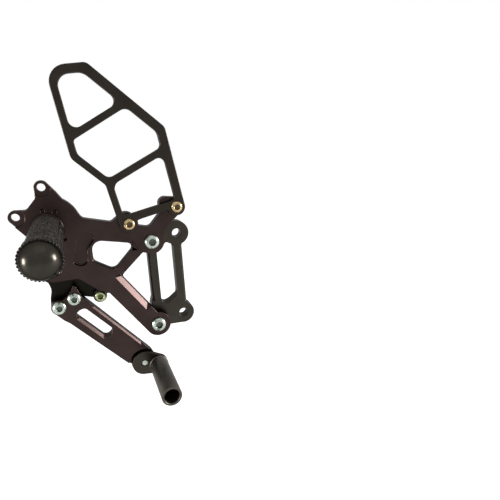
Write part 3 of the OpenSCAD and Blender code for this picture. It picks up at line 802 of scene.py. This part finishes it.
@dataclass
class Pivot:
    """Fixed sleeve that the lever turns on, its washer and its bolt from behind."""

    chamfer: float = 0.3 * MM

    def build(self) -> None:
        """Build the three turned pieces."""
        self.ring("pivot_sleeve_ground", "pivot_sleeve", LARGE_BORE_R, self.chamfer, Finish.GROUND_STEEL)
        self.ring("pivot_washer_disc", "pivot_washer", LARGE_BORE_R, self.chamfer, Finish.SILVER_ZINC)
        SocketBolt("pivot_bolt", BoltSize.LARGE, Finish.SILVER_ZINC, outboard=False).build()

    @staticmethod
    def ring(name: str, node: str, bore: float, chamfer: float, finish: Finish) -> None:
        """Turned ring with chamfered rims where a CAD node is.

        Args:
            name: Name of the piece.
            node: CAD node that gives its outer radius and its faces.
            bore: Radius of its bore.
            chamfer: Size of the chamfers.
            finish: Its finish.
        """
        low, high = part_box(node)
        r, front, back = (high.x - low.x) / 2, low.y, high.y
        profile = [(bore, front), (r - chamfer, front), (r, front + chamfer), (r, back - chamfer),
                   (r - chamfer, back), (bore, back), (bore, front)]
        install(turned(name, centre_of(node), profile), finish, node)


@dataclass
class BrakeLever:
    """Bell-crank hub with its bush, the slotted arm, its two bolts and the rest stop."""

    edge: float = 0.35 * MM
    bush_bore_r: float = 8.05 * MM
    bush_chamfer: float = 0.15 * MM
    stop_bore_r: float = 3.2 * MM
    stop_chamfer: float = 0.4 * MM

    def build(self) -> None:
        """Build the hub, the arm and what is fixed to them."""
        # The hub's finish is the black anodise darkened as painted shade
        install(machined("lever_hub", "pedal_hub", self.edge), Finish.HUB_BLACK, "pedal_hub")
        install(machined("lever_arm", "pedal_arm", self.edge), Finish.PLATE_BROWN, "pedal_arm")
        Pivot.ring("hub_bush", "pedal_bush", self.bush_bore_r, self.bush_chamfer, Finish.BUSH_BRONZE)
        Pivot.ring("rest_stop_spacer", "stop_spacer", self.stop_bore_r, self.stop_chamfer,
                   Finish.STOP_RUBBER)
        for place in ("inner", "outer"):
            SocketBolt(f"arm_bolt_{place}", BoltSize.SMALL, Finish.SILVER_ZINC).build()
        SocketBolt("stop_bolt", BoltSize.SMALL, Finish.OLIVE_ZINC).build()


@dataclass
class ToePeg:
    """Adjustable toe peg: a link, a hollow peg and their two bolts."""

    link_edge: float = 0.4 * MM
    shoulder_r: float = 9.2 * MM
    shoulder_t: float = 2.4 * MM
    tube_r: float = 8.8 * MM
    bore_r: float = 6.6 * MM
    floor_t: float = 12.0 * MM
    chamfer: float = 0.4 * MM

    def build(self) -> None:
        """Build the link, the peg and the bolts."""
        install(machined("toe_link", "toe_carrier", self.link_edge), Finish.ADAPTER_BLACK, "toe_carrier")
        self.peg()
        SocketBolt("toe_pivot_bolt", BoltSize.SMALL, Finish.SILVER_ZINC, outboard=False).build()
        SocketBolt("toe_peg_screw", BoltSize.SMALL, Finish.SILVER_ZINC, outboard=False).build()

    def peg(self) -> None:
        """Tube with a stepped root and a chamfered mouth."""
        low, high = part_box("toe_peg")
        mouth, root = low.y, high.y
        outer, inner, step = self.tube_r, self.bore_r, root - self.shoulder_t
        shoulder, rim = self.shoulder_r, self.shoulder_r - self.chamfer
        profile = [
            (0.0, root), (rim, root), (shoulder, root - self.chamfer),
            (shoulder, step + self.chamfer), (rim, step),
            (outer + 0.3 * MM, step), (outer, step - 0.3 * MM),
            (outer, mouth + 0.7 * MM), (outer - 0.25 * MM, mouth + 0.2 * MM), (outer - 0.7 * MM, mouth),
            (inner + 0.5 * MM, mouth), (inner, mouth + 0.5 * MM),
            (inner, root - self.floor_t), (0.0, root - self.floor_t - 1.2 * MM)]
        install(turned("toe_peg_tube", centre_of("toe_peg"), profile), Finish.TOE_BLACK, "toe_peg")


@dataclass(frozen=True)
class Softbox:
    """Rectangular lamp that faces the object."""

    name: str
    way: Triple
    distance: float
    size: tuple[float, float]
    power: float

    def hang(self, middle: Triple) -> None:
        """Put the lamp in the scene.

        Args:
            middle: Place that it faces, from where its way and its distance are measured.
        """
        lamp = bpy.data.lights.new(self.name, "AREA")
        lamp.shape = "RECTANGLE"
        lamp.size, lamp.size_y = self.size
        lamp.energy = self.power
        holder = bpy.data.objects.new(self.name, lamp)
        bpy.context.scene.collection.objects.link(holder)
        away = Vector(self.way).normalized()
        holder.location = Vector(middle) + away * self.distance
        holder.rotation_euler = away.to_track_quat("Z", "Y").to_euler()


@dataclass
class Studio:
    """Pale floor, white surround, two upright softboxes, one overhead and the camera."""

    eye: Triple = (-0.083473, -0.4244, 0.127701)
    right: Triple = (0.9293818, -0.3659905, -0.0479624)
    up: Triple = (0.1354139, 0.2171812, 0.9666930)
    lens: float = 32.4
    sensor: float = 36.0
    middle: Triple = (-0.06, -0.03, 0.04)
    softboxes: tuple[Softbox, ...] = (
        Softbox("left_softbox", (-0.97, -0.23, 0.06), 0.9, (0.20, 0.26), 10.0),
        Softbox("right_softbox", (0.93, -0.30, 0.12), 0.9, (0.22, 0.30), 12.0),
        Softbox("top_softbox", (0.05, -0.35, 0.93), 1.0, (0.8, 0.8), 0.8))
    floor_z: float = -0.16
    floor_half: float = 3.0
    floor_grey: float = 0.5
    floor_glow: float = 0.78
    surround_light: float = 0.55

    def build(self) -> None:
        """Set the stage, the lamps and the camera."""
        self.floor()
        self.surround()
        for softbox in self.softboxes:
            softbox.hang(self.middle)
        self.camera()
        bpy.context.scene.view_settings.view_transform = "Standard"

    @staticmethod
    def seen_directly(tree: bpy.types.NodeTree) -> Socket:
        """Return 1 for rays from the camera, from a mirror or through glass, and 0 for others."""
        path = tree.nodes.new("ShaderNodeLightPath")
        seen = path.outputs["Is Camera Ray"]
        for kind in ("Is Glossy Ray", "Is Transmission Ray"):
            either = tree.nodes.new("ShaderNodeMath")
            either.operation = "MAXIMUM"
            tree.links.new(seen, either.inputs[0])
            tree.links.new(path.outputs[kind], either.inputs[1])
            seen = either.outputs[0]
        return seen

    def floor(self) -> None:
        """Pale floor that keeps the object's shadow."""
        half = self.floor_half
        corners = np.array([[-half, -half], [half, -half], [half, half], [-half, half]])
        places = np.column_stack([corners, np.full(4, self.floor_z)])
        mesh = bpy.data.meshes.new("floor")
        mesh.from_pydata(places.tolist(), [], [(0, 1, 2, 3)])
        floor = linked("floor", mesh)
        swatch = Swatch("pale_floor")
        swatch.fix("Base Color", (self.floor_grey,) * 3)
        swatch.fix("Roughness", 0.9)
        swatch.fix("Specular IOR Level", 0.0)
        glow = swatch.tree.nodes.new("ShaderNodeMath")
        glow.operation = "MULTIPLY"
        glow.inputs[1].default_value = self.floor_glow
        swatch.tree.links.new(self.seen_directly(swatch.tree), glow.inputs[0])
        swatch.fix("Emission Color", (1.0, 1.0, 1.0))
        swatch.feed("Emission Strength", glow.outputs[0])
        mesh.materials.append(swatch.material)

    def surround(self) -> None:
        """White surround to the eye and to mirrors, and a soft grey light to the rest."""
        world = bpy.data.worlds.new("surround")
        world.use_nodes = True
        background = world.node_tree.nodes["Background"]
        level = world.node_tree.nodes.new("ShaderNodeMapRange")
        level.inputs["To Min"].default_value = self.surround_light
        level.inputs["To Max"].default_value = 1.0
        world.node_tree.links.new(self.seen_directly(world.node_tree), level.inputs["Value"])
        world.node_tree.links.new(level.outputs["Result"], background.inputs["Strength"])
        background.inputs["Color"].default_value = (1.0, 1.0, 1.0, 1.0)
        bpy.context.scene.world = world

    def camera(self) -> None:
        """Camera at the photograph's place, turned by the axes that point right and up in it."""
        data = bpy.data.cameras.new("camera")
        data.lens = self.lens
        data.sensor_width = self.sensor
        data.clip_start = 0.01
        holder = bpy.data.objects.new("camera", data)
        right, up = np.array(self.right), np.array(self.up)
        axes = np.column_stack([right, up, np.cross(right, up)])
        holder.matrix_world = Matrix([[*row, place] for row, place in zip(axes.tolist(), self.eye)]
                                        + [[0.0, 0.0, 0.0, 1.0]])
        bpy.context.scene.collection.objects.link(holder)
        bpy.context.scene.camera = holder


def main() -> None:
    """Build each sub-assembly in order, then the studio round them."""
    logging.basicConfig(level=logging.INFO, format="%(message)s")
    Hanger().build()
    Footpeg().build()
    Pivot().build()
    BrakeLever().build()
    ToePeg().build()
    Studio().build()


if __name__ == "__main__":
    main()
